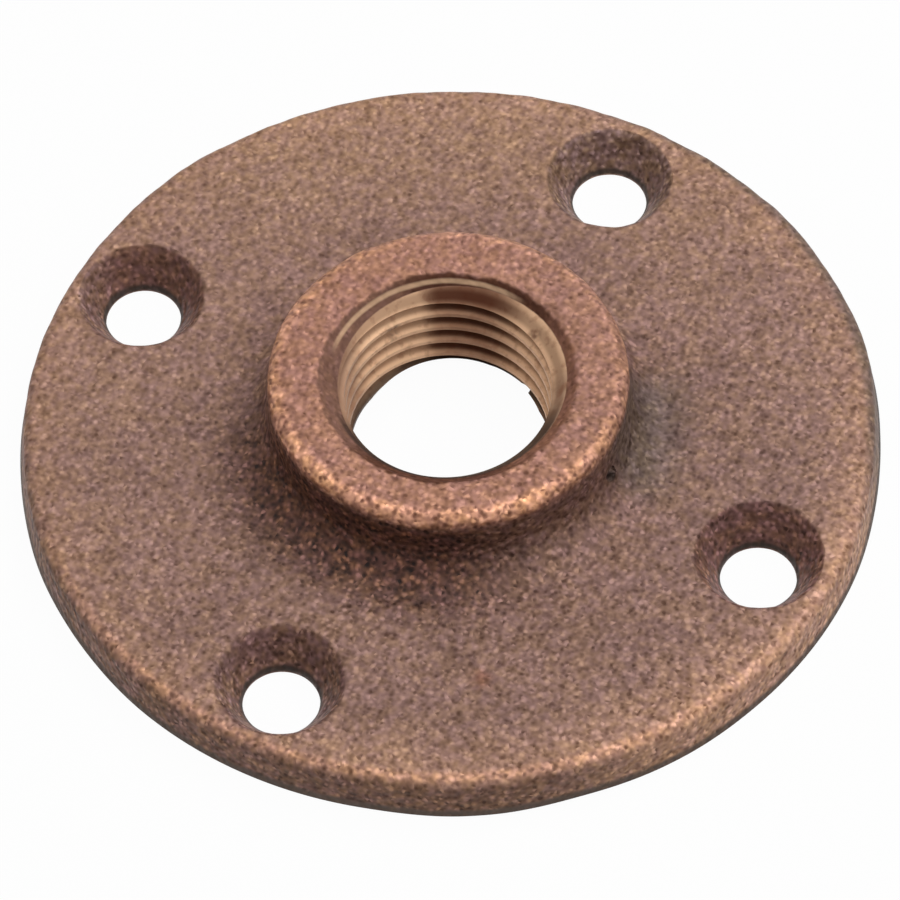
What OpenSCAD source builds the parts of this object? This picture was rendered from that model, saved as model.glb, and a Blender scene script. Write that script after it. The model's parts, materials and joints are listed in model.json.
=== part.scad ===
// Threaded floor flange: a round cast plate that screws to a floor or a wall,
// with a short threaded hub in its middle that takes the end of a pipe.
// The flat back lies on z = 0 and the pipe's axis is +Z. Lengths are in millimetres.

/* [Pipe bore] */
// Diameter of the bore as drilled for a half-inch taper pipe thread
bore_d = 18.26; // [14:0.02:24]
// Width of the cast chamfer round the bore's mouth
mouth_w = 2.1; // [0.5:0.1:3]
// Angle between that chamfer and the bore's axis
mouth_angle = 45; // [35:1:60]

/* [Hub] */
// Wall of the hub at its top, from the bore to the outside
hub_wall = 6.6; // [5:0.1:9]
// Height of the hub above the plate's face
hub_rise = 6.8; // [6:0.1:20]
// Slope of the hub's wall that lets the casting leave its mould, in degrees
hub_draft = 2; // [0.5:0.5:6]
// Rounding of the hub's top edge
hub_round = 1.2; // [0.4:0.1:1.6]
// Fillet where the hub stands on the plate
foot_fillet = 3.2; // [1:0.1:4]

/* [Plate] */
// Diameter of the plate at its back
plate_d = 76.2; // [66:0.1:120]
// Thickness of the plate
plate_t = 4; // [3:0.1:8]
// Slope of the rim's side, in degrees
rim_draft = 7.5; // [1:0.5:12]
// Rounding of the rim's front edge
rim_round = 1; // [0.3:0.1:1.4]

/* [Screw holes] */
// Number of screw holes, evenly spaced
screw_count = 4; // [3:1:6]
// Distance from the middle of a screw hole to the plate's edge
screw_edge = 7.6; // [7:0.1:10]
// Diameter of a screw hole
screw_d = 6.7; // [5.2:0.1:8]
// Diameter of the countersink at the plate's face
sink_d = 11.2; // [9:0.1:12]
// Full angle of the countersink
sink_angle = 64; // [60:1:110]

/* [Hidden] */
$fn = 160;

// How far a cut runs past the face that it opens
cut_past = 1;

bore_r = bore_d / 2;
mouth_r = bore_r + mouth_w;
plate_r = plate_d / 2;
top_z = plate_t + hub_rise;
mouth_z = top_z - mouth_w / tan(mouth_angle);

// Radius of the two sloping sides at a height above the back
function hub_side(z) = bore_r + hub_wall + (top_z - z) * tan(hub_draft);
function rim_side(z) = plate_r - z * tan(rim_draft);

// Middles of the three round stretches of the section, each as [radius, height]
hub_round_mid = [hub_side(top_z - hub_round) - hub_round, top_z - hub_round];
foot_mid = [hub_side(plate_t + foot_fillet) + foot_fillet, plate_t + foot_fillet];
rim_round_mid = [rim_side(plate_t - rim_round) - rim_round, plate_t - rim_round];

// Section of the casting to the right of its axis. Its straight outline runs through
// the points where the arcs begin and end, and the three circles then make the arcs.
module flange_section() {
    difference() {
        union() {
            polygon([
                [bore_r, 0],
                [plate_r, 0],
                rim_round_mid + [rim_round, 0],
                rim_round_mid + [0, rim_round],
                foot_mid - [0, foot_fillet],
                foot_mid - [foot_fillet, 0],
                hub_round_mid + [hub_round, 0],
                hub_round_mid + [0, hub_round],
                [mouth_r, top_z],
                [bore_r, mouth_z],
            ]);
            translate(rim_round_mid)
                circle(rim_round);
            translate(hub_round_mid)
                circle(hub_round);
        }
        translate(foot_mid)
            circle(foot_fillet);
    }
}

// One screw hole with its countersink, as the solid that is cut away
module screw_hole() {
    slope = tan(sink_angle / 2);
    land_z = plate_t - (sink_d - screw_d) / 2 / slope;
    low_z = min(0, land_z) - cut_past;
    rotate_extrude()
        polygon([
            [0, low_z],
            [screw_d / 2, low_z],
            [screw_d / 2, land_z],
            [sink_d / 2 + cut_past * slope, plate_t + cut_past],
            [0, plate_t + cut_past],
        ]);
}

// The whole casting: a turned body with its ring of screw holes
module floor_flange() {
    color([0.57, 0.44, 0.39])
        difference() {
            rotate_extrude()
                flange_section();
            for (i = [0 : screw_count - 1])
                rotate([0, 0, i * 360 / screw_count])
                    translate([plate_r - screw_edge, 0, 0])
                        screw_hole();
        }
}

floor_flange();
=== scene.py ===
# %% [markdown]
# # A threaded floor flange in cast bronze
# A floor flange is a round plate with a threaded hub. Screws hold the plate to a floor or a
# wall, and a pipe is screwed into the hub. This one was poured in a sand mould, so nearly all of
# it is rough. Only the bore was cut by a tool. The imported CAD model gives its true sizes, and this
# lesson makes the casting that people see, in the same place and at the same size.

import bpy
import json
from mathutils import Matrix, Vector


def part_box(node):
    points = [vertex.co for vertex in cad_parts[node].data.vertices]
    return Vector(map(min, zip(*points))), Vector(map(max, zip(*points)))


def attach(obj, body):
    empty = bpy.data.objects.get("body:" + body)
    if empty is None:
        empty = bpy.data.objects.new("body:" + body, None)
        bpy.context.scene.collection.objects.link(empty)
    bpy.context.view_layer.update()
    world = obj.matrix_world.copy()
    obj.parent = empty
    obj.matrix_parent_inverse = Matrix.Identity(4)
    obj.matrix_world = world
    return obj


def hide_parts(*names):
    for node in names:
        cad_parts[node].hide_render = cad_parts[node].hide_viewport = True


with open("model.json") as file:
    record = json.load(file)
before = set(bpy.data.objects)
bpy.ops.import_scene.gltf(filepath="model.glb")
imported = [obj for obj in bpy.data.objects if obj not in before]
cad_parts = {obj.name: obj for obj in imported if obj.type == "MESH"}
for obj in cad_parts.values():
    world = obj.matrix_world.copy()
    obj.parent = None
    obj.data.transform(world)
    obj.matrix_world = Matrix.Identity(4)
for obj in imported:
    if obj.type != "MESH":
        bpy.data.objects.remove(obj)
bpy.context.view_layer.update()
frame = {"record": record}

# %% [markdown]
# ## Sizes from the frame
# A size that the CAD model already knows shouldn't be typed a second time. The node's box gives
# the plate and the height, and the record's mounts give the bore and the ring of screw holes.
# The lengths in this lesson are in millimetres, and MM turns them into Blender's metres.

# %% Read the sizes
import json
import math

import bpy

MM = 0.001
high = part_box("floor_flange")[1]
plate_r = high[0] / MM
top_z = high[2] / MM
mounts = {mount["name"]: mount["dims"] for mount in frame["record"]["mounts"]}
bore_r = mounts["pipe_thread"]["r_mm"]
hole_circle_r = mounts["screw_holes"]["pcd_mm"] / 2
hole_count = mounts["screw_holes"]["count"]
hole_r = mounts["screw_holes"]["hole_r_mm"]
print("plate radius", round(plate_r, 2), "height", round(top_z, 2), "bore radius", bore_r)

# %% [markdown]
# ## The section of the casting
# A turned form is best drawn as half of its section and then swung round its axis. By hand, a
# plane merged to one point is extruded from corner to corner. The bore narrows a little towards the
# back, as a taper pipe thread does. The hub is drawn a fifth of a millimetre too wide, because its
# rough skin will be pushed inwards by about as much.

# %% Draw the outline by extruding a point
plate_t = 4.0
rim_side_r = plate_r - 0.5
hub_foot_r = 16.17
hub_top_r = 15.93
mouth_r = 11.23
mouth_z = top_z - (mouth_r - bore_r)
bore_back_r = 8.72


def let_go():
    """Leaves edit mode and deselects everything."""
    if bpy.context.mode != "OBJECT":
        bpy.ops.object.mode_set(mode="OBJECT")
    bpy.ops.object.select_all(action="DESELECT")


def only(piece):
    """Leaves one object selected and active, in object mode."""
    let_go()
    piece.select_set(True)
    bpy.context.view_layer.objects.active = piece


def draw(name, outline):
    """Extrudes one point along an outline of (radius, height) corners."""
    let_go()
    bpy.ops.mesh.primitive_plane_add(size=MM)
    piece = bpy.context.object
    piece.name = name
    bpy.ops.object.mode_set(mode="EDIT")
    bpy.ops.mesh.select_mode(type="VERT")
    bpy.ops.mesh.select_all(action="SELECT")
    bpy.ops.mesh.merge(type="CENTER")
    bpy.ops.transform.translate(value=(outline[0][0] * MM, 0, outline[0][1] * MM))
    for (r0, z0), (r1, z1) in zip(outline, outline[1:]):
        step = ((r1 - r0) * MM, 0, (z1 - z0) * MM)
        bpy.ops.mesh.extrude_region_move(TRANSFORM_OT_translate={"value": step})
    bpy.ops.mesh.select_all(action="SELECT")
    bpy.ops.mesh.remove_doubles(threshold=0.001 * MM)
    bpy.ops.object.mode_set(mode="OBJECT")
    return piece


casting = draw(
    "cast_flange",
    [
        (bore_back_r, 0),
        (plate_r, 0),
        (rim_side_r, plate_t),
        (hub_foot_r, plate_t),
        (hub_top_r, top_z),
        (mouth_r, top_z),
        (bore_r, mouth_z),
        (bore_back_r, 0),
    ],
)
print("outline corners", len(casting.data.vertices))

# %% [markdown]
# ## Rounded corners
# The rim, the hub's top and the hub's foot are round on the real casting, because sharp corners of
# sand break away, and the mouth's edge is only just eased. A vertex bevel rounds one corner of the
# outline at a time. The plan gives each corner's place, its size and its number of steps.

# %% Round the four corners
corner_plan = [
    (rim_side_r, plate_t, 1.0, 6),
    (hub_foot_r, plate_t, 3.2, 10),
    (hub_top_r, top_z, 1.2, 6),
    (mouth_r, top_z, 0.25, 2),
]
corner_reach = 0.05


def pick_points(piece, test):
    """Selects the points whose radius and height in millimetres pass a test."""
    only(piece)
    bpy.ops.object.mode_set(mode="EDIT")
    bpy.ops.mesh.select_mode(type="VERT")
    bpy.ops.mesh.select_all(action="DESELECT")
    bpy.ops.object.mode_set(mode="OBJECT")
    count = 0
    for point in piece.data.vertices:
        x, y, z = point.co / MM
        point.select = test(math.hypot(x, y), z)
        count += point.select
    bpy.ops.object.mode_set(mode="EDIT")
    return count


def round_corner(piece, corner, size, steps):
    """Rounds one corner of a drawn outline."""
    pick_points(piece, lambda r, z: math.hypot(r - corner[0], z - corner[1]) < corner_reach)
    bpy.ops.mesh.bevel(offset=size * MM, segments=steps, profile=0.5, affect="VERTICES")
    bpy.ops.object.mode_set(mode="OBJECT")


for corner_r, corner_z, size, steps in corner_plan:
    round_corner(casting, (corner_r, corner_z), size, steps)
print("points after rounding", len(casting.data.vertices))

# %% [markdown]
# ## Enough points for a rough skin
# Sand grain and lumps need points to move. Long edges of the outline are subdivided first, finely
# where the skin shows and coarsely on the flat back, so that the triangles go where they are seen.
# The bore keeps its long edge, because the thread will cut it anyway.

# %% Subdivide the outline
skin_step = 0.42
back_step = 1.6


def subdivide_outline(piece, spacing, test):
    """Splits the outline's long edges whose middle passes a test."""
    only(piece)
    mesh = piece.data
    cuts_of = {}
    for edge in mesh.edges:
        a, b = (mesh.vertices[i].co / MM for i in edge.vertices)
        middle = (a + b) / 2
        cuts = math.ceil((a - b).length / spacing) - 1
        if cuts > 0 and test(middle.x, middle.z):
            cuts_of[edge.index] = cuts
    for cuts in sorted(set(cuts_of.values())):
        bpy.ops.object.mode_set(mode="EDIT")
        bpy.ops.mesh.select_mode(type="EDGE")
        bpy.ops.mesh.select_all(action="DESELECT")
        bpy.ops.object.mode_set(mode="OBJECT")
        for index, wanted in cuts_of.items():
            mesh.edges[index].select = wanted == cuts
        bpy.ops.object.mode_set(mode="EDIT")
        bpy.ops.mesh.subdivide(number_cuts=cuts)
        bpy.ops.object.mode_set(mode="OBJECT")


subdivide_outline(casting, skin_step, lambda r, z: z > 0.01 and r > bore_r + 0.1)
subdivide_outline(casting, back_step, lambda r, z: z < 0.01)
print("points in the section", len(casting.data.vertices))

# %% [markdown]
# ## Swinging the section round
# Spin in edit mode would do this, but it slows down badly with hundreds of steps. The Screw
# modifier with no rise makes the same turned solid at once. Its seam is merged and its normals
# are recalculated, because a turned mesh can come out inside out.

# %% Turn the section into the casting
turn_steps = 560


def apply_modifiers(piece):
    """Applies a piece's modifiers from first to last."""
    only(piece)
    for modifier in list(piece.modifiers):
        bpy.ops.object.modifier_apply(modifier=modifier.name)


def close_skin(piece):
    """Merges doubled points and turns all faces outwards."""
    only(piece)
    bpy.ops.object.mode_set(mode="EDIT")
    bpy.ops.mesh.select_all(action="SELECT")
    bpy.ops.mesh.remove_doubles(threshold=0.002 * MM)
    bpy.ops.mesh.normals_make_consistent(inside=False)
    bpy.ops.object.mode_set(mode="OBJECT")


def turn(piece, steps, angle=math.tau, rise=0.0):
    """Swings an outline round Z, and lifts it by a rise where one is given."""
    swing = piece.modifiers.new("swing", "SCREW")
    swing.axis = "Z"
    swing.angle = angle
    swing.screw_offset = rise * MM
    swing.steps = steps
    swing.render_steps = steps
    apply_modifiers(piece)
    close_skin(piece)


turn(casting, turn_steps)
print("faces of the turned casting", len(casting.data.polygons))

# %% [markdown]
# ## Out of round
# No sand mould is quite round. The real rim stands out or lies back by up to a quarter of a
# millimetre in a few places. Each is one pull on the rim with proportional editing, which takes the
# neighbouring skin along.

# %% Pull the rim in and out
rim_pulls = [
    (20, -0.13),
    (43, 0.25),
    (60, 0.2),
    (162, 0.16),
    (216, -0.1),
    (240, -0.1),
    (302, 0.26),
    (328, 0.12),
]
pull_grip = 1.2
pull_reach = 9.0


def drag(move, reach):
    """Moves the picked points, and takes the skin within a reach along."""
    bpy.ops.transform.translate(
        value=move,
        use_proportional_edit=True,
        proportional_edit_falloff="SMOOTH",
        proportional_size=reach * MM,
    )
    bpy.ops.object.mode_set(mode="OBJECT")


def pull_rim(piece, angle, amount):
    """Moves the rim outwards at an angle in degrees, with the skin around it."""
    out_x = math.cos(math.radians(angle))
    out_y = math.sin(math.radians(angle))
    pick_points(piece, lambda r, z: False)
    bpy.ops.object.mode_set(mode="OBJECT")
    for point in piece.data.vertices:
        from_x = point.co.x / MM - plate_r * out_x
        from_y = point.co.y / MM - plate_r * out_y
        point.select = math.hypot(from_x, from_y) < pull_grip
    bpy.ops.object.mode_set(mode="EDIT")
    drag((amount * MM * out_x, amount * MM * out_y, 0), pull_reach)


for angle, amount in rim_pulls:
    pull_rim(casting, angle, amount)
widest = max(math.hypot(point.co.x, point.co.y) for point in casting.data.vertices)
print("widest radius in mm", round(widest / MM, 3))

# %% [markdown]
# ## A hub off its bore
# On the real casting the outside of the hub isn't quite in line with its bore. Its wall is picked
# and moved back by half a millimetre. Proportional editing takes the top and the foot along and
# fades out before the bore's mouth and the plate.

# %% Move the hub's outside
hub_off = 0.5
hub_off_way = math.radians(115)
hub_off_x = hub_off * math.cos(hub_off_way)
hub_off_y = hub_off * math.sin(hub_off_way)
hub_reach = 2.4
wall_low_z = plate_t + 1.5
wall_in_r = hub_top_r - 1.6
picked = pick_points(casting, lambda r, z: z > wall_low_z and r > wall_in_r)
drag((hub_off_x * MM, hub_off_y * MM, 0), hub_reach)
print("points moved with the hub's wall", picked)

# %% [markdown]
# ## Lumps of the sand mould
# A sand casting is never quite flat. It has shallow swells a few millimetres wide, and its edges
# waver. Bump alone can't bend an outline, so Displace modifiers with cloud textures move the real
# points. They push inwards nearly all over, so that the casting stays in the CAD model's box. A vertex
# group keeps the back and the bore as they are, and the edges of rim and hub get a stronger waver
# of their own. The plan gives each group with the width and the depth of its lumps.

# %% Push the cast skin in
mostly_inwards = 0.92
lump_plan = [("skin", 5.5, 0.13), ("skin", 1.4, 0.09), ("rim", 3.2, 0.22), ("hub", 3.0, 0.26)]


def weigh(piece, name, weight):
    """Makes a vertex group from a weight that depends on radius and height."""
    group = piece.vertex_groups.new(name=name)
    for point in piece.data.vertices:
        x, y, z = point.co / MM
        amount = weight(math.hypot(x, y), z)
        if amount > 0:
            group.add([point.index], min(amount, 1.0), "REPLACE")


def waver(piece, group, width, depth, middle):
    """Pushes a group's points by cloud-shaped lumps, inwards where a cloud is below its middle."""
    cloud = bpy.data.textures.new("lumps_" + group, "CLOUDS")
    cloud.noise_scale = width * MM
    cloud.noise_depth = 1
    push = piece.modifiers.new("push", "DISPLACE")
    push.texture = cloud
    push.texture_coords = "LOCAL"
    push.vertex_group = group
    push.mid_level = middle
    push.strength = depth * MM


def near(r, z, corner_r, corner_z, reach):
    """1 at a corner of the section, and falling to 0 at some reach from it."""
    return max(0, 1 - math.hypot(r - corner_r, z - corner_z) / reach)


weigh(casting, "skin", lambda r, z: min(1, z / 0.8) if r > mouth_r - 0.9 else 0)
weigh(casting, "rim", lambda r, z: near(r, z, rim_side_r - 0.5, plate_t - 0.5, 1.9) * min(1, z))
weigh(casting, "hub", lambda r, z: near(r, z, hub_top_r - 0.4, top_z - 0.4, 2.2))
for group, width, depth in lump_plan:
    waver(casting, group, width, depth, mostly_inwards)
apply_modifiers(casting)
print("highest point in mm", round(max(point.co.z for point in casting.data.vertices) / MM, 3))

# %% [markdown]
# ## Countersunk screw holes
# Each hole is a steep cone for the head of a wood screw, with a very short straight land at the
# back. A cutter is drawn and turned as the casting was. Its outline bends outwards at the top, which
# rounds the lip of the hole.

# %% Make one cutter
sink_r = 5.6
sink_angle = 64
sink_slope = math.tan(math.radians(sink_angle / 2))
land_z = plate_t - (sink_r - hole_r) / sink_slope
lip_out = 1.5
lip_rise = 0.32
lip_round = 0.7
cut_past = 1.2
cutter_step = 0.5
cutter_steps = 120

hole_cutter = draw(
    "screw_hole_cutter",
    [
        (0, -cut_past),
        (hole_r, -cut_past),
        (hole_r, land_z),
        (sink_r, plate_t),
        (sink_r + lip_out, plate_t + lip_rise),
        (sink_r + lip_out, plate_t + cut_past),
        (0, plate_t + cut_past),
    ],
)
round_corner(hole_cutter, (sink_r, plate_t), lip_round, 5)
subdivide_outline(hole_cutter, cutter_step, lambda r, z: r > hole_r and z < plate_t + lip_rise)
turn(hole_cutter, cutter_steps)
print("land height", round(land_z, 2), "points of a cutter", len(hole_cutter.data.vertices))

# %% [markdown]
# The cutter is copied to its four places, and a waver makes each copy a little different. One hole
# of the real part sits half a millimetre off its place, and so does ours.

# %% Copy the cutter to its places
hole_wander = [(0, 0), (0, 0), (-0.5, -0.5), (0, 0)]
both_ways = 0.5
hole_places = []
cutters = []
for number, (out_x, out_y) in zip(range(hole_count), hole_wander):
    angle = number * math.tau / hole_count
    hole_x = hole_circle_r * math.cos(angle) + out_x
    hole_y = hole_circle_r * math.sin(angle) + out_y
    hole_places.append((hole_x, hole_y))
    only(hole_cutter)
    bpy.ops.object.duplicate()
    copy = bpy.context.object
    copy.location = (hole_x * MM, hole_y * MM, 0)
    bpy.ops.object.transform_apply(location=True)
    weigh(copy, "cone", lambda r, z: 1 if z > land_z else 0.4)
    waver(copy, "cone", 2.0, 0.2, both_ways)
    apply_modifiers(copy)
    cutters.append(copy)
bpy.data.objects.remove(hole_cutter)
print("hole places", [(round(px, 1), round(py, 1)) for px, py in hole_places])

# %% [markdown]
# A Boolean takes the cutters away one by one. The manifold solver is quick and keeps a closed skin.

# %% Cut the screw holes


def take_away(piece, cutter):
    """Cuts one closed solid out of another, and removes the cutter."""
    cut = piece.modifiers.new("cut", "BOOLEAN")
    cut.operation = "DIFFERENCE"
    cut.solver = "MANIFOLD"
    cut.object = cutter
    apply_modifiers(piece)
    bpy.data.objects.remove(cutter)


for cutter in cutters:
    take_away(casting, cutter)
print("faces with screw holes", len(casting.data.polygons))

# %% [markdown]
# ## The pipe thread
# The bore has a half-inch taper pipe thread, 14 grooves to the inch. A groove's outline is drawn
# once, swung up in a helix by the Screw modifier and capped, and a Taper widens it towards the
# mouth. Then a Boolean cuts it. It starts below the back, so that it runs out of the back face as
# a tapped thread does, and it climbs out over the cast chamfer at the mouth.

# %% Wind the thread's groove
pitch = 25.4 / 14
groove_half = 0.72
groove_depth = 0.8
groove_tip = 0.07
groove_root = 0.5
steps_a_turn = 180
thread_turns = 7.4
thread_angle = -82
taper_per_mm = 0.0052


def wind_groove(name, inner_r, turns, angle, low_z):
    """Makes the solid of a groove that climbs from an angle in degrees and a height."""
    groove = draw(
        name,
        [
            (inner_r - groove_root, -groove_half),
            (inner_r, -groove_half),
            (inner_r + groove_depth, -groove_tip),
            (inner_r + groove_depth, groove_tip),
            (inner_r, groove_half),
            (inner_r - groove_root, groove_half),
            (inner_r - groove_root, -groove_half),
        ],
    )
    turn(groove, int(turns * steps_a_turn), turns * math.tau, turns * pitch)
    only(groove)
    bpy.ops.object.mode_set(mode="EDIT")
    bpy.ops.mesh.select_mode(type="EDGE")
    bpy.ops.mesh.select_all(action="DESELECT")
    bpy.ops.mesh.select_non_manifold()
    bpy.ops.mesh.fill_holes(sides=0)
    bpy.ops.mesh.select_all(action="SELECT")
    bpy.ops.transform.translate(value=(0, 0, low_z * MM))
    bpy.ops.object.mode_set(mode="OBJECT")
    groove.rotation_euler.z = math.radians(angle)
    bpy.ops.object.transform_apply(rotation=True)
    heights = [point.co.z / MM for point in groove.data.vertices]
    flare = groove.modifiers.new("flare", "SIMPLE_DEFORM")
    flare.deform_method = "TAPER"
    flare.deform_axis = "Z"
    flare.factor = taper_per_mm * (max(heights) - min(heights))
    apply_modifiers(groove)
    close_skin(groove)
    print(name, "climbs in mm", round(min(heights), 2), "to", round(max(heights), 2))
    return groove


thread = wind_groove("thread_groove", bore_back_r, thread_turns, thread_angle, -pitch)

# %% [markdown]
# The bore's lower edge was bevelled by hand and off its middle, so the bevel is widest behind. Beside
# it the last crest has broken out, which leaves a small step. A cone that is moved sideways cuts the
# bevel. A short stretch of the groove, moved too so that it fades out, cuts the step.

# %% Cut the thread and break the lower edge
bevel_middle = -0.7
bevel_off = 1.9
bevel_high = 1.4
bevel_towards = 115
bevel_past = 0.5
chip_inset = 1.68
chip_turns = 0.11
chip_angle = 73
chip_low_z = 0.3
chip_towards = 50
chip_off = 2.2


def shift(piece, amount, towards):
    """Moves a piece sideways by an amount towards an angle in degrees."""
    way = math.radians(towards)
    piece.location = (amount * MM * math.cos(way), amount * MM * math.sin(way), 0)
    only(piece)
    bpy.ops.object.transform_apply(location=True)


bevel_r = bore_back_r + bevel_middle
bevel = draw(
    "edge_bevel",
    [
        (0, -bevel_past),
        (bevel_r + bevel_past, -bevel_past),
        (bevel_r - bevel_high, bevel_high),
        (0, bevel_high),
    ],
)
turn(bevel, steps_a_turn)
shift(bevel, bevel_off, bevel_towards)
chip = wind_groove("edge_chip", bore_back_r - chip_inset, chip_turns, chip_angle, chip_low_z)
shift(chip, chip_off, chip_towards)
for cutter in (thread, bevel, chip):
    take_away(casting, cutter)
print("faces with the thread", len(casting.data.polygons))

# %% [markdown]
# ## A blowhole at the hub's foot
# Gas in the mould left one small pit beside the hub, on its right in the picture. A ball is
# squeezed and made lumpy, and a Boolean takes it away, so that the pit is a real hollow.

# %% Cut the pit
pit_angle = math.radians(0.8)
pit_r = 16.0
pit_z = 6.2
pit_half = 0.72
pit_squeeze = (1.0, 1.25, 0.8)
let_go()
bpy.ops.mesh.primitive_ico_sphere_add(
    subdivisions=3,
    radius=pit_half * MM,
    location=(pit_r * MM * math.cos(pit_angle), pit_r * MM * math.sin(pit_angle), pit_z * MM),
)
pit = bpy.context.object
pit.scale = pit_squeeze
bpy.ops.object.transform_apply(location=True, rotation=True, scale=True)
weigh(pit, "ball", lambda r, z: 1)
waver(pit, "ball", 0.7, 0.7, both_ways)
apply_modifiers(pit)
close_skin(pit)
take_away(casting, pit)
print("faces with the pit", len(casting.data.polygons))

# %% [markdown]
# ## Tidying the mesh
# Booleans leave slivers and faces with many corners, which shade badly. Points closer than a
# fiftieth of a millimetre are merged, flat leftovers dissolved and the large faces split into
# triangles. A sliver that sticks out of the skin has open edges, so it is found by them and deleted.
# Then the skin is shaded smooth, with real edges kept sharp by their angle.

# %% Clean up and shade
merge_within = 0.02
flat_within = 0.004
sharp_from = math.radians(38)
only(casting)
bpy.ops.object.mode_set(mode="EDIT")
bpy.ops.mesh.select_mode(type="VERT")
bpy.ops.mesh.select_all(action="SELECT")
bpy.ops.mesh.remove_doubles(threshold=merge_within * MM)
bpy.ops.mesh.dissolve_degenerate(threshold=flat_within * MM)
bpy.ops.mesh.select_all(action="DESELECT")
bpy.ops.mesh.select_face_by_sides(number=4, type="GREATER", extend=False)
bpy.ops.mesh.quads_convert_to_tris(quad_method="BEAUTY", ngon_method="BEAUTY")
bpy.ops.mesh.select_all(action="DESELECT")
bpy.ops.mesh.select_non_manifold(use_multi_face=False, use_non_contiguous=False, use_verts=False)
bpy.ops.mesh.delete(type="FACE")
bpy.ops.mesh.select_all(action="DESELECT")
bpy.ops.mesh.select_non_manifold()
bpy.ops.object.mode_set(mode="OBJECT")
odd_points = sum(point.select for point in casting.data.vertices)
casting.vertex_groups.clear()
bpy.ops.object.shade_smooth_by_angle(angle=sharp_from)
triangles = sum(len(face.vertices) - 2 for face in casting.data.polygons)
print("triangles", triangles, "points on open or odd edges", odd_points)

# %% [markdown]
# ## Writing a material as sums
# A material is a net of nodes, and long nets are hard to read. This small class wraps a node's
# output, so that adding or multiplying two of them adds the Math node that does it. Its method
# node adds any other node from its type, its settings and what goes into its sockets.

# %% A class for shader maths


class Shade:
    """An output in a node tree. Sums and products of shades add Math nodes."""

    def __init__(self, tree, socket=None):
        self.tree = tree
        self.socket = socket

    def node(self, kind, settings=None, inputs=None, out=0):
        """Adds a node: its settings first, then the values or links of its sockets."""
        made = self.tree.nodes.new(kind)
        for name, value in (settings or {}).items():
            setattr(made, name, value)
        for key, value in (inputs or {}).items():
            if isinstance(value, Shade):
                self.tree.links.new(value.socket, made.inputs[key])
            else:
                made.inputs[key].default_value = value
        return Shade(self.tree, made.outputs[out] if made.outputs else None)

    def also(self, out):
        """Another output of the same node."""
        return Shade(self.tree, self.socket.node.outputs[out])

    def maths(self, operation, first, second=0.0):
        return self.node("ShaderNodeMath", {"operation": operation}, {0: first, 1: second})

    def __add__(self, other):
        return self.maths("ADD", self, other)

    def __radd__(self, other):
        return self.maths("ADD", other, self)

    def __sub__(self, other):
        return self.maths("SUBTRACT", self, other)

    def __rsub__(self, other):
        return self.maths("SUBTRACT", other, self)

    def __mul__(self, other):
        return self.maths("MULTIPLY", self, other)

    def __rmul__(self, other):
        return self.maths("MULTIPLY", other, self)

    def __pow__(self, other):
        return self.maths("POWER", self, other)

    def least(self, other):
        return self.maths("MINIMUM", self, other)

    def most(self, other):
        return self.maths("MAXIMUM", self, other)

    def away(self):
        return self.maths("ABSOLUTE", self)

    def rise(self, start, end):
        """Goes smoothly from 0 at start to 1 at end, or the other way round."""
        settings = {"interpolation_type": "SMOOTHSTEP", "clamp": True}
        low_end, high_end = sorted((start, end))
        limits = (0.0, 1.0) if start < end else (1.0, 0.0)
        inputs = {0: self, 1: low_end, 2: high_end, 3: limits[0], 4: limits[1]}
        return self.node("ShaderNodeMapRange", settings, inputs)


def colour(red, green, blue):
    """A colour as read from a picture, 0 to 255, in the linear light that shaders use."""
    parts = []
    for part in (red, green, blue):
        share = part / 255
        parts.append(share / 12.92 if share <= 0.04045 else ((share + 0.055) / 1.055) ** 2.4)
    return (*parts, 1.0)


print("a middle brown is", [round(v, 3) for v in colour(147, 114, 101)])

# %% [markdown]
# ## Where on the casting a point is
# Wear and dirt follow the form: edges are rubbed bright and hollows are dark. They also lie more on
# one side than on another. All of that can be told from a point's place, so the Object coordinates
# are turned into millimetres, a radius, a height and a side of the casting.

# %% Measure the place in the shader
bronze = bpy.data.materials.new("cast_bronze")
bronze.use_nodes = True
bronze.node_tree.nodes.clear()
base = Shade(bronze.node_tree)
in_metres = base.node("ShaderNodeTexCoord", out="Object")
place = base.node("ShaderNodeVectorMath", {"operation": "SCALE"}, {0: in_metres, "Scale": 1 / MM})
x, y, z = (base.node("ShaderNodeSeparateXYZ", None, {0: place}, axis) for axis in "XYZ")


def length(a, b):
    """Distance from two sides of a right angle."""
    return (a * a + b * b) ** 0.5


def facing(angle):
    """Cosine between a point's direction from the axis and an angle in degrees."""
    way = math.radians(angle)
    return (x * math.cos(way) + y * math.sin(way)) * radius ** -1.0


def side(angle, full, gone):
    """1 within so many degrees of an angle round the axis, and 0 beyond so many."""
    return facing(angle).rise(math.cos(math.radians(gone)), math.cos(math.radians(full)))


radius = length(x, y)
print("nodes for the place", len(bronze.node_tree.nodes))

# %% [markdown]
# ## Where in a countersink
# The countersinks are painted dark, as shade, and the wall that looks towards one side is painted
# paler in most of them, as light. So the shader needs two more measures: how far the nearest hole's
# middle is, and how far a point lies to the lit side of that hole.

# %% Measure from the screw holes
sink_lit_way = math.radians(205)
lip_end = sink_r + lip_out
lip_start = sink_r + 1.0
from_hole = None
sink_side = None
for hole_x, hole_y in hole_places:
    reach = length(x - hole_x, y - hole_y)
    across = (x - hole_x) * math.cos(sink_lit_way) + (y - hole_y) * math.sin(sink_lit_way)
    across = across * reach.rise(lip_end, lip_start)
    from_hole = reach if from_hole is None else from_hole.least(reach)
    sink_side = across if sink_side is None else sink_side + across
print("nodes with the holes", len(bronze.node_tree.nodes))

# %% [markdown]
# ## Sand grain
# The mould's sand left its print all over: soft grains of about half a millimetre, close together.
# Two weak clouds are enough for their height. The colour needs single grains, a few rubbed bright
# among many that are a little dark, and Voronoi cells of two sizes make such specks. A speck's level
# is a chance number squared, so that few are bright, less its mean, so that the skin's colour stays.

# %% Build the grain
mean_square = 1 / 3
grit_angle = 320
level_middle = 0.47


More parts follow.
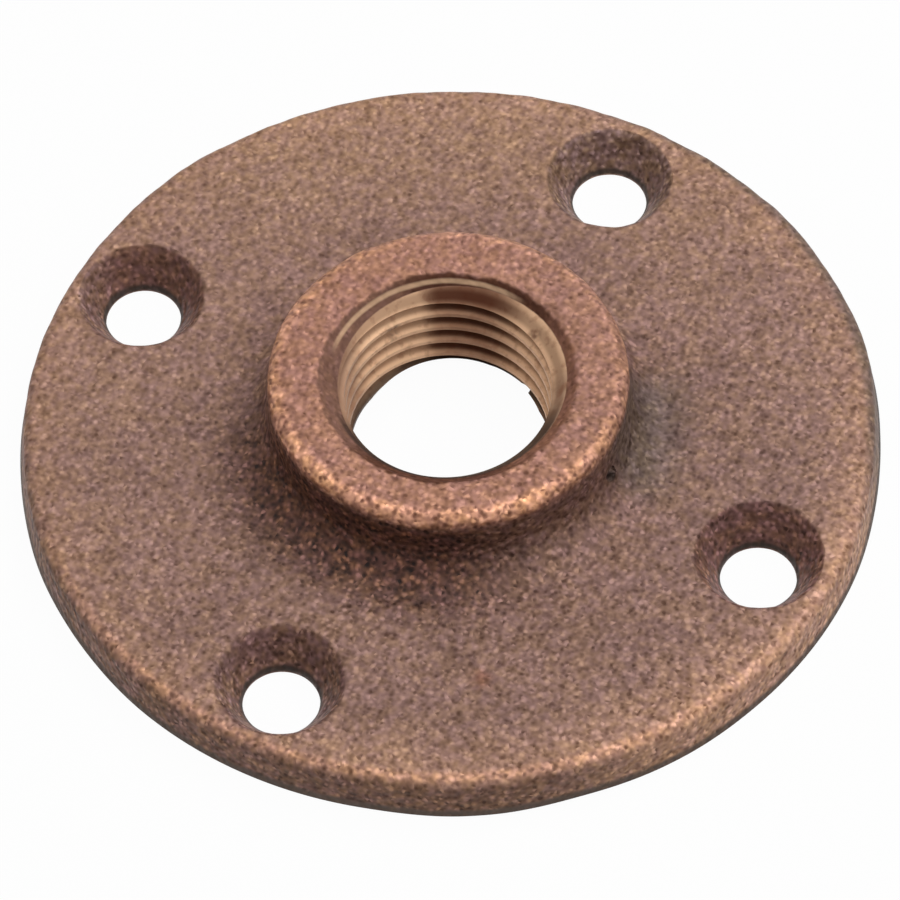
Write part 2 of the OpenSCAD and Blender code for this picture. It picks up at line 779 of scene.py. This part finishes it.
def noise(scale, detail=0.0):
    """Cloudy noise with so many swells in a millimetre."""
    return base.node("ShaderNodeTexNoise", None, {"Vector": place, "Scale": scale, "Detail": detail})


def specks(scale, axis):
    """Round specks, about so many in a millimetre. A few are bright and most a little dark."""
    inputs = {"Vector": place, "Scale": scale}
    to_middle = base.node("ShaderNodeTexVoronoi", {"feature": "F1"}, inputs, "Distance")
    chance = base.node("ShaderNodeSeparateXYZ", None, {0: to_middle.also("Color")}, axis)
    return (chance * chance - mean_square) * to_middle.rise(0.8, 0.0)


grain = noise(1.35) * 0.6 + noise(1.9) * 0.8 - 0.7
speck_share = facing(grit_angle) * 0.17 + 0.83
grain_level = grain * 0.6 + (specks(1.85, "X") + specks(2.5, "Y")) * speck_share + level_middle
print("nodes with grain", len(bronze.node_tree.nodes))

# %% [markdown]
# ## Patina of the cast skin
# Bronze browns with age, but not evenly. Wide soft patches run from a purple brown to a warm tan,
# the plate is more yellow behind the hub, and the rim is more golden. Each of these is one Mix with
# a mask, from the widest to the finest. A mask rises from 0 at one length in millimetres to 1 at
# another, and a side is given by its angle, how far it is full and where it is gone.

# %% Mix the colour of the plate
purple_brown = colour(126, 96, 84)
warm_tan = colour(146, 113, 97)
back_tan = colour(160, 125, 98)
golden_tan = colour(170, 131, 105)
pale_angle = 150


def mix(mask, first, second, blend="MIX"):
    """Goes from a first colour to a second where a mask goes from 0 to 1."""
    settings = {"data_type": "RGBA", "blend_type": blend, "clamp_factor": True}
    return base.node("ShaderNodeMix", settings, {0: mask, 6: first, 7: second}, 2)


patches = noise(0.16, 2.0).rise(0.3, 0.72) * 0.5 + radius.rise(18, 32) * 0.3
patches = patches + facing(pale_angle) * 0.24 + 0.1
plate_back = side(115, 18, 60) * radius.rise(21, 31) * 0.45
rim_gold = patches * 0.45 + side(345, 18, 73) * 0.38 + 0.06
rim_gold = rim_gold * radius.rise(31, 37)
skin = mix(patches, purple_brown, warm_tan)
skin = mix(plate_back, skin, back_tan)
skin = mix(rim_gold, skin, golden_tan)
print("nodes with the plate", len(bronze.node_tree.nodes))

# %% [markdown]
# The hub's top is more like copper, because hands and pipes touch it, and its right side is painted
# darker, as shade.
# Round the hub's foot, most of all in front, grime and a painted shadow of the hub darken the plate
# and the hub's wall, and one patch on the right has turned greenish.

# %% Mix the colour of the hub
copper = colour(161, 116, 96)
copper_painted_shade = colour(148, 108, 91)
foot_grime_and_shadow = colour(84, 52, 38)
green_grey = colour(92, 79, 70)

# The hub's right side, where shade is painted on its top and the worn highlight is weaker.
hub_right_shade = side(35, 26, 73)
from_hub = length(x - hub_off_x, y - hub_off_y)
hub_top = z.rise(top_z - 2.2, top_z - 0.4) * from_hub.rise(hub_top_r + 0.9, hub_top_r + 0.2)
hub_foot = z.rise(top_z - 0.85, top_z - 2.1) * z.rise(1.0, 3.0)
hub_foot = hub_foot * from_hub.rise(hub_foot_r + 7.3, hub_foot_r + 1.0)
hub_foot = hub_foot * radius.rise(bore_r + 4, bore_r + 5)
# Painted shadow of the hub, with some grime, round its foot and most of all in front.
in_grime_and_shadow = hub_foot * (side(262, 26, 66) * 0.75 + 0.12)
in_green = hub_foot * side(22, 11.5, 26) * 0.75
# The right of the hub's top is painted darker, as shade.
skin = mix(hub_top, skin, mix(hub_right_shade * 0.6, copper, copper_painted_shade))
skin = mix(in_grime_and_shadow, skin, foot_grime_and_shadow)
skin = mix(in_green, skin, green_grey)
print("nodes with the hub", len(bronze.node_tree.nodes))

# %% [markdown]
# Grains are painted by multiplying: the gaps between them darken and warm what is there, and their
# tops make it paler. So one pair of tints serves every patch of colour. A second, slower noise turns
# some places a little olive and others a little pink.

# %% Speckle the skin
gap_tint = (0.38, 0.30, 0.25, 1.0)
top_tint = (1.66, 1.75, 1.82, 1.0)
# The grain's gaps are darker and warmer in the hub's painted shadow and grime.
grime_and_shadow_tint = (0.12, 0.05, 0.02, 1.0)
grit_tint = (1.9, 1.95, 2.0, 1.0)
olive_tint = (1.03, 1.01, 0.90, 1.0)
pink_tint = (1.0, 0.98, 1.10, 1.0)


def speckled(paint, again=None):
    """A colour with the grain on it, and a share of the grain once more."""
    once = mix(1.0, paint, speckle, "MULTIPLY")
    if again is None:
        return once
    return mix(again, once, mix(1.0, once, speckle, "MULTIPLY"))


speckle = mix(grain_level, mix(in_grime_and_shadow, gap_tint, grime_and_shadow_tint), mix(in_grime_and_shadow, top_tint, grit_tint))
turn_of_hue = noise(0.45, 2.0) * 0.5 + noise(1.3, 1.0) * 0.5
hue = mix(turn_of_hue.rise(0.35, 0.65), olive_tint, pink_tint)
speckle = mix(1.0, speckle, hue, "MULTIPLY")
skin = speckled(skin, in_grime_and_shadow * 0.8)
print("nodes with the speckle", len(bronze.node_tree.nodes))

# %% [markdown]
# ## The rim
# The rim has been handled and dropped. Its side is painted a darker brown on the left, as shade, grey
# at the back right and nearly bare at the front right, and the rounding in front is rubbed to bright
# metal, painted paler partly as wear and partly as a highlight.

# %% Paint shade, tones and wear on the rim
rim_shade_brown = colour(122, 89, 72)
grey_and_edge_shade = colour(92, 80, 72)
bare_pink = colour(198, 154, 127)
worn_and_lit_metal = colour(198, 146, 113)

# The rim's side is painted darker on the left, as shade.
rim_side_shade = radius.rise(plate_r - 1.5, plate_r - 0.8) * z.rise(plate_t - 0.4, plate_t - 1.0)
rim_side_shade = rim_side_shade * (side(245, 53, 84) * 0.7 + 0.1)
rim_grey = radius.rise(plate_r - 1.9, plate_r - 0.9) * side(52, 23, 52) * 0.7
rim_bare = radius.rise(plate_r - 2.2, plate_r - 0.9) * side(350, 14, 37) * 0.65
# The rim's rounding is painted paler, partly as wear and partly as a painted highlight, most in front.
rim_wear_and_highlight = length(radius - rim_side_r + 0.75, z - plate_t + 0.3).rise(0.85, 0.15)
rim_wear_and_highlight = rim_wear_and_highlight * (side(285, 26, 66) * 0.85 + 0.15)
# The hub's top edge is painted paler too, partly as wear and partly as a highlight, weaker on its
# shaded right.
hub_wear_and_highlight = length(from_hub - hub_top_r + 0.5, z - top_z + 0.35).rise(1.3, 0.3)
hub_wear_and_highlight = hub_wear_and_highlight * (side(265, 80, 140) * 0.55 + 0.45) * (1 - hub_right_shade * 0.45)
wear_and_highlight = (rim_wear_and_highlight * 0.42).most(hub_wear_and_highlight) * (grain_level.rise(0.1, 0.6) * 0.55 + 0.35)
skin = mix(rim_side_shade, skin, speckled(rim_shade_brown, 0.7))
skin = mix(rim_grey, skin, speckled(grey_and_edge_shade))
skin = mix(rim_bare, skin, speckled(bare_pink))
skin = mix(wear_and_highlight, skin, speckled(worn_and_lit_metal))
print("nodes with the rim", len(bronze.node_tree.nodes))

# %% [markdown]
# ## Painted shade in the hollows
# The four countersinks are painted dark, as shade, and rough, with one wall painted paler as light, so
# each has its own tone.
# The bottom edges of the rim and of the holes are painted dark grey to black, as shade.
# The painted shade never hides the skin wholly, so all of these masks share one cover below 1.

# %% Darken the screw holes and the lower edge
sink_shade_brown = colour(120, 84, 72)
sink_lit_grey = colour(142, 117, 103)
hole_shade_dark = colour(48, 40, 34)
shade_line_grey = colour(64, 58, 54)
shade_cover = 0.85

in_sink = from_hole.rise(sink_r + 0.15, sink_r - 0.1) * z.rise(plate_t + 0.1, plate_t - 0.25)
in_sink = in_sink * z.rise(0.02, 0.3)
# The bottom edges of the holes and of the rim are painted dark, as shade.
hole_edge_shade = from_hole.rise(hole_r + 0.35, hole_r + 0.1) * in_sink
bottom_edge_shade = z.rise(0.95, 0.4) * radius.rise(plate_r - 1.5, plate_r - 0.9)
right_hole = side(0, 14, 26)
back_hole = side(90, 14, 26)
front_hole = side(270, 14, 26)
sink_painted_light = sink_side.rise(2.0, 5.5) * (0.5 - right_hole * 0.4)
sink_painted_light = sink_painted_light.most(back_hole * 0.7).most(front_hole * 0.2)
# The countersinks are painted darker as shade, and one wall of each paler as light.
skin = mix(in_sink * shade_cover, skin, speckled(mix(sink_painted_light, sink_shade_brown, sink_lit_grey), 0.7))
skin = mix(bottom_edge_shade * shade_cover, skin, mix(side(52, 72, 114), grey_and_edge_shade, shade_line_grey))
skin = mix(hole_edge_shade * shade_cover, skin, hole_shade_dark)
print("nodes with the hollows", len(bronze.node_tree.nodes))

# %% [markdown]
# The blowhole's hollow is painted nearly black, as shade, and one small spot on the plate in front is
# rusty red.

# %% Paint the pit and the rust spot
pit_shade = colour(30, 20, 16)
rust = colour(142, 86, 50)
rust_r = 27.1
rust_way = math.radians(304.5)

pit_x = pit_r * math.cos(pit_angle)
pit_y = pit_r * math.sin(pit_angle)
in_pit = length(length(x - pit_x, y - pit_y), z - pit_z).rise(0.85, 0.55)
to_rust = length(x - rust_r * math.cos(rust_way), y - rust_r * math.sin(rust_way))
in_rust = (to_rust + noise(1.2) * 1.2 - 0.6).rise(1.5, 0.1) * z.rise(1.0, 3.0) * 0.4
# The pit is painted nearly black, as shade.
skin = mix(in_pit * shade_cover, skin, pit_shade)
skin = mix(in_rust, skin, speckled(rust))
print("nodes with the spots", len(bronze.node_tree.nodes))

# %% [markdown]
# ## The cut metal of the bore
# The tap cut through the patina to clean bronze, tan and fairly smooth. Its cut is not quite in the
# middle of the cast mouth, so a band of rough skin is left, widest on the left. The cut wall is
# painted paler at the back left and the back right, as light, and darker on the left, as shade.

# %% Find the cut metal and colour it
cut_r = 10.02
cut_middle = (0.175, 0.505)
cut_tan = colour(209, 171, 140)
cut_shade = colour(186, 146, 116)
cut_painted_light = colour(242, 198, 159)
cut_painted_shade = colour(176, 138, 112)

above_back = z.rise(0.02, 0.2)
from_cut = length(x - cut_middle[0], y - cut_middle[1])
cut_metal = from_cut.rise(cut_r + 0.06, cut_r - 0.06) * above_back
cut_colour = mix(noise(0.8, 2.0).rise(0.35, 0.7), cut_tan, cut_shade)
# Painted light at the back left and back right of the wall, and painted shade on its left.
cut_colour = mix(side(150, 11.5, 37) * 0.9, cut_colour, cut_painted_light)
cut_colour = mix(side(62, 18, 37), cut_colour, cut_painted_light)
cut_colour = mix(side(220, 18, 45.5) * 0.8, cut_colour, cut_painted_shade)
print("nodes with the cut metal", len(bronze.node_tree.nodes))

# %% [markdown]
# The grooves are painted dark, as shade, darkest in one stretch at the back, which starts sharply and
# fades to the right. In that stretch the cut wall is painted a darker tan as well. A few drops of oil
# have left stains of their own.

# %% Paint shade into the thread
oil_and_shade_brown = colour(86, 37, 15)
oil_and_shade_tan = colour(166, 110, 79)
wall_stains = [(151.1, 9.0, 7.2, 1.1), (150.0, 9.0, 6.3, 0.8), (64.5, 9.6, 8.9, 0.9)]

wall_r = bore_back_r + (bore_r - bore_back_r) / mouth_z * z
# The stretch at the back where shade is painted into the grooves and onto the wall.
shaded_stretch = side(39.5, 83, 94.6) * side(118, 11.5, 47)
groove_shade = (radius - wall_r).rise(0.12, 0.5) * z.rise(mouth_z + 1.4, mouth_z + 0.8)
groove_shade = groove_shade * (shaded_stretch * 0.44 + 0.38)
first_groove = shaded_stretch * z.rise(mouth_z - 0.2, mouth_z + 0.3) * 0.5
smears = noise(1.4, 2.0).rise(0.5, 0.72) * 0.4
cut_colour = mix(shaded_stretch * 0.45, cut_colour, oil_and_shade_tan)
cut_colour = mix(smears, cut_colour, oil_and_shade_tan)
cut_colour = mix(first_groove, cut_colour, oil_and_shade_brown)
cut_colour = mix(groove_shade, cut_colour, oil_and_shade_brown)
for angle, stain_r, stain_z, size in wall_stains:
    stain_x = stain_r * math.cos(math.radians(angle))
    stain_y = stain_r * math.sin(math.radians(angle))
    to_stain = length(length(x - stain_x, y - stain_y), z - stain_z)
    in_stain = to_stain.rise(size, 0.0) * noise(1.6, 1.0).rise(0.3, 0.6)
    cut_colour = mix(in_stain, cut_colour, oil_and_shade_brown)
print("nodes with the oil", len(bronze.node_tree.nodes))

# %% [markdown]
# Round the cut runs the band of cast mouth, ragged at its outer edge. It is painted dark brown at the
# back and grey on the left, as shade, and pinker on the right. One thin line at the back left is
# painted bright, as a highlight on the cut's edge.
# The sharp lower edge of the bore and the front edge of its mouth are painted nearly black, as shade.

# %% Paint the mouth and the sharp edges
mouth_shade_brown = colour(70, 30, 6)
band_shade_grey = colour(130, 94, 79)
mouth_pink = colour(156, 108, 85)
painted_highlight_line = colour(240, 198, 160)
edge_shade_dark = colour(44, 30, 22)
line_r = 10.5
line_off = 0.25
line_way = math.radians(120)

ragged = radius + noise(0.9, 1.0) * 0.9 - 0.45
cast_mouth = ragged.rise(mouth_r + 0.2, mouth_r - 0.15) * (1 - cut_metal) * above_back
# The mouth's cast band is painted dark brown at the back and grey on the left, as shade.
shaded_band = mix(side(195, 37, 69.5), mouth_shade_brown, band_shade_grey)
shaded_band = mix(side(15, 26, 60) * 0.8, shaded_band, mouth_pink)
shaded_band = mix(0.6, shaded_band, speckled(shaded_band))
# A painted highlight along the cut's edge at the back left.
from_line = length(x - line_off * math.cos(line_way), y - line_off * math.sin(line_way)) - line_r
mouth_highlight = from_line.away().rise(0.24, 0.06) * z.rise(top_z, top_z - 0.4)
mouth_highlight = mouth_highlight * z.rise(mouth_z, mouth_z + 0.5) * side(135, 41.5, 58) * 0.75
# The front edge of the mouth and the lower edge of the bore are painted nearly black, as shade.
front_edge_shade = side(300, 60, 81.5) * radius.rise(10.35, 9.95) * above_back
edge_lift = side(95, 25, 60) * 0.5
lower_edge_shade = (z - edge_lift).rise(1.3, 0.6) * cut_metal
skin = mix(cast_mouth * shade_cover, skin, shaded_band)
skin = mix(cut_metal, skin, cut_colour)
skin = mix(mouth_highlight, skin, painted_highlight_line)
skin = mix(lower_edge_shade.most(front_edge_shade) * shade_cover, skin, edge_shade_dark)
print("nodes with the bore", len(bronze.node_tree.nodes))

# %% [markdown]
# ## The shader
# Patina is part metal and part mineral, so the skin is only partly metallic and rather rough. Worn
# and cut places are more metallic and smoother. The painted shade in the grooves and on the mouth's
# band is neither, or it would mirror the white room and turn pale. The grain's bump fades out on the
# cut metal.

# %% Put the shader together
bump_height = 0.2
# Where shade is painted dark, the surface is kept rough and not metallic.
painted_dark = (cut_metal * (groove_shade * 0.9 + shaded_stretch * 0.3)).most(cast_mouth * 0.8)
metal_share = 0.3 + wear_and_highlight * 0.4 + cut_metal * 0.1 - in_sink * 0.15 - painted_dark * 0.28
roughness = 0.56 - wear_and_highlight * 0.14 - cut_metal * 0.06 + painted_dark * 0.35
grain_height = grain * (1 - cut_metal * 0.92 - cast_mouth * 0.4)
bump_inputs = {"Strength": 1.0, "Distance": bump_height * MM, "Height": grain_height}
bump = base.node("ShaderNodeBump", None, bump_inputs)
shader = base.node(
    "ShaderNodeBsdfPrincipled",
    None,
    {
        "Base Color": skin,
        "Metallic": metal_share,
        "Roughness": roughness,
        "Specular IOR Level": 0.3,
        "Normal": bump,
    },
)
base.node("ShaderNodeOutputMaterial", None, {0: shader})
casting.data.materials.clear()
casting.data.materials.append(bronze)
print("nodes in all", len(bronze.node_tree.nodes))

# %% [markdown]
# ## Putting the piece on the frame
# The flange is one piece with no joints, so it rides on the root body and stands for the CAD node,
# which stays hidden for the physics.

# %% Ride on the root
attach(casting, "root")
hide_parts("floor_flange")
print("piece", casting.name, "at", tuple(casting.location))

# %% [markdown]
# ## A white floor
# The floor is white paper. What the camera sees of it is mostly an even white, with a little of its
# real shading left, so that the flange still throws a faint shadow. Light that bounces off it stays
# that of plain paper, so the white doesn't brighten the flange.

# %% Lay the floor
paper_grey = 0.86
even_share = 0.965
floor_size = 4.0
floor_gap = 0.03


def seen_white(ground):
    """1 for rays that come straight from the camera, a mirror or glass."""
    seen = ground.node("ShaderNodeLightPath", out="Is Camera Ray")
    seen = seen.most(ground.node("ShaderNodeLightPath", out="Is Glossy Ray"))
    return seen.most(ground.node("ShaderNodeLightPath", out="Is Transmission Ray"))


let_go()
bpy.ops.mesh.primitive_plane_add(size=floor_size, location=(0, 0, -floor_gap * MM))
floor = bpy.context.object
floor.name = "white_floor"
paper = bpy.data.materials.new("white_paper")
paper.use_nodes = True
paper.node_tree.nodes.clear()
sheet = Shade(paper.node_tree)
plain_white = sheet.node("ShaderNodeEmission", None, {0: (1, 1, 1, 1), 1: 1.0})
matt_white = sheet.node("ShaderNodeBsdfDiffuse", None, {0: (paper_grey, paper_grey, paper_grey, 1)})
shares = {0: seen_white(sheet) * even_share, 1: matt_white, 2: plain_white}
mixed = sheet.node("ShaderNodeMixShader", None, shares)
sheet.node("ShaderNodeOutputMaterial", None, {0: mixed})
floor.data.materials.append(paper)
print("floor", floor.name)

# %% [markdown]
# ## The camera
# The picture that we match was taken from above at about 55 degrees, through a long lens, with the
# camera tilted by two degrees. The camera's three directions are worked out from those angles and
# make up its matrix.

# %% Set the camera
from mathutils import Matrix, Vector

azimuth = math.radians(30.1)
elevation = math.radians(54.85)
tilt = math.radians(2.09)
distance = 0.5525
drop = 0.235
lens_mm = 249.9

towards = Vector((
    math.cos(elevation) * math.sin(azimuth),
    -math.cos(elevation) * math.cos(azimuth),
    math.sin(elevation),
))
right = Vector((math.cos(azimuth), math.sin(azimuth), 0))
up = towards.cross(right)
camera_right = right * math.cos(tilt) - up * math.sin(tilt)
camera_up = right * math.sin(tilt) + up * math.cos(tilt)
spot = towards * distance - camera_up * drop * MM
turned = Matrix((camera_right, camera_up, towards)).transposed().to_4x4()
lens = bpy.data.cameras.new("photo_camera")
lens.lens = lens_mm
lens.sensor_width = 36.0
lens.clip_start = 0.01
camera = bpy.data.objects.new("photo_camera", lens)
bpy.context.scene.collection.objects.link(camera)
camera.matrix_world = Matrix.Translation(spot) @ turned
bpy.context.scene.camera = camera
print("camera at", [round(v, 4) for v in spot])

# %% [markdown]
# ## Soft light
# One wide lamp hangs above and one stands behind the flange to the right, so that faces turned to
# the camera stay dark, as in the picture. A weaker one at the front right brings out the grain of
# the rim, and a very weak one on the left keeps the shadows open. The room itself glows a little.

# %% Hang the lamps
lamp_distance = 0.7
lamp_plan = [
    ("top_lamp", 0, 84, 0.45, 0.32),
    ("back_lamp", 42, 50, 0.35, 0.36),
    ("left_lamp", -95, 38, 0.45, 0.03),
    ("right_lamp", 112, 45, 0.45, 0.2),
]


def soft_lamp(name, turned_by, lamp_elevation, size, strength):
    """A square lamp at an angle round the flange, 0 behind it and positive to the right."""
    away_level = Vector((-towards.x, -towards.y, 0)).normalized()
    way = math.radians(turned_by)
    flat = away_level * math.cos(way) + right * math.sin(way)
    height = math.radians(lamp_elevation)
    aim = flat * math.cos(height) + Vector((0, 0, math.sin(height)))
    light = bpy.data.lights.new(name, "AREA")
    light.size = size
    light.energy = strength * math.pi * math.pi * lamp_distance ** 2
    lamp = bpy.data.objects.new(name, light)
    bpy.context.scene.collection.objects.link(lamp)
    lamp.location = aim * lamp_distance
    lamp.rotation_euler = aim.to_track_quat("Z", "Y").to_euler()


for plan in lamp_plan:
    soft_lamp(*plan)

# %% [markdown]
# The room is white to the camera and in mirrors, but it lights the flange only weakly.

# %% Fill the room
fill = 0.1
room = bpy.data.worlds.new("soft_room")
room.use_nodes = True
room.node_tree.nodes.clear()
air = Shade(room.node_tree)
level = seen_white(air) * (1 - fill) + fill
glow = air.node("ShaderNodeBackground", None, {0: (1, 1, 1, 1), 1: level})
air.node("ShaderNodeOutputWorld", None, {0: glow})
bpy.context.scene.world = room
bpy.context.scene.view_settings.view_transform = "Standard"
print("world", bpy.context.scene.world.name)
